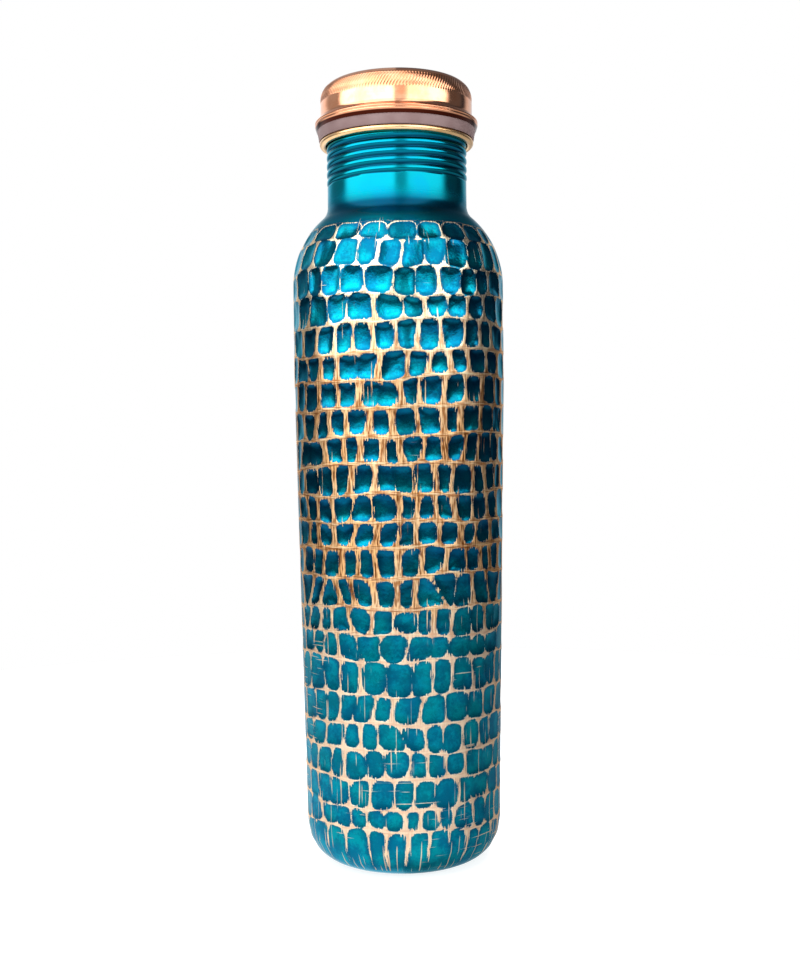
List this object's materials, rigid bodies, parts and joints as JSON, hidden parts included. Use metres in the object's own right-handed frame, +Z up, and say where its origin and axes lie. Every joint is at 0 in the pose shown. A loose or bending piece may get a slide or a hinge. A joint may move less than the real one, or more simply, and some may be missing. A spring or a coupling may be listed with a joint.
{
  "type": "water bottle",
  "caption": "Hammered copper water bottle in teal lacquer: tapered body, round shoulder, threaded neck and a polished double-walled screw cap with a beaded rim.",
  "frame": {"origin": "centre of the foot ring that the bottle stands on, on the bottle's axis", "axes": "+Z up along the bottle's axis; the object is turned, so X and Y are free, and the neck's thread starts at +Y"},
  "size_m": [0.0748, 0.0748, 0.275],
  "materials": {
    "lacquered_copper": "gloss",
    "polished_copper": "polished",
    "cup_metal": "satin",
    "silicone": "matte"
  },
  "bodies": {
    "bottle": {"bottle_body": "lacquered_copper"},
    "seal": {"cap_gasket": "silicone"},
    "cap": {"cap_cover": "polished_copper", "cap_thread_cup": "cup_metal"}
  },
  "joints": [
    {"name": "cap_lift", "type": "slide", "parent": "bottle", "child": "seal", "axis": [0, 0, 1], "range_m": [0, 0.0301]},
    {"name": "cap_turn", "type": "hinge", "parent": "seal", "child": "cap", "pos_m": [0, 0, 0.26], "axis": [0, 0, 1], "range_deg": [0, 3600]}
  ],
  "couplings": [
    {"joint": "cap_lift", "follows": "cap_turn", "m_per_rad": 0.00047746}
  ]
}
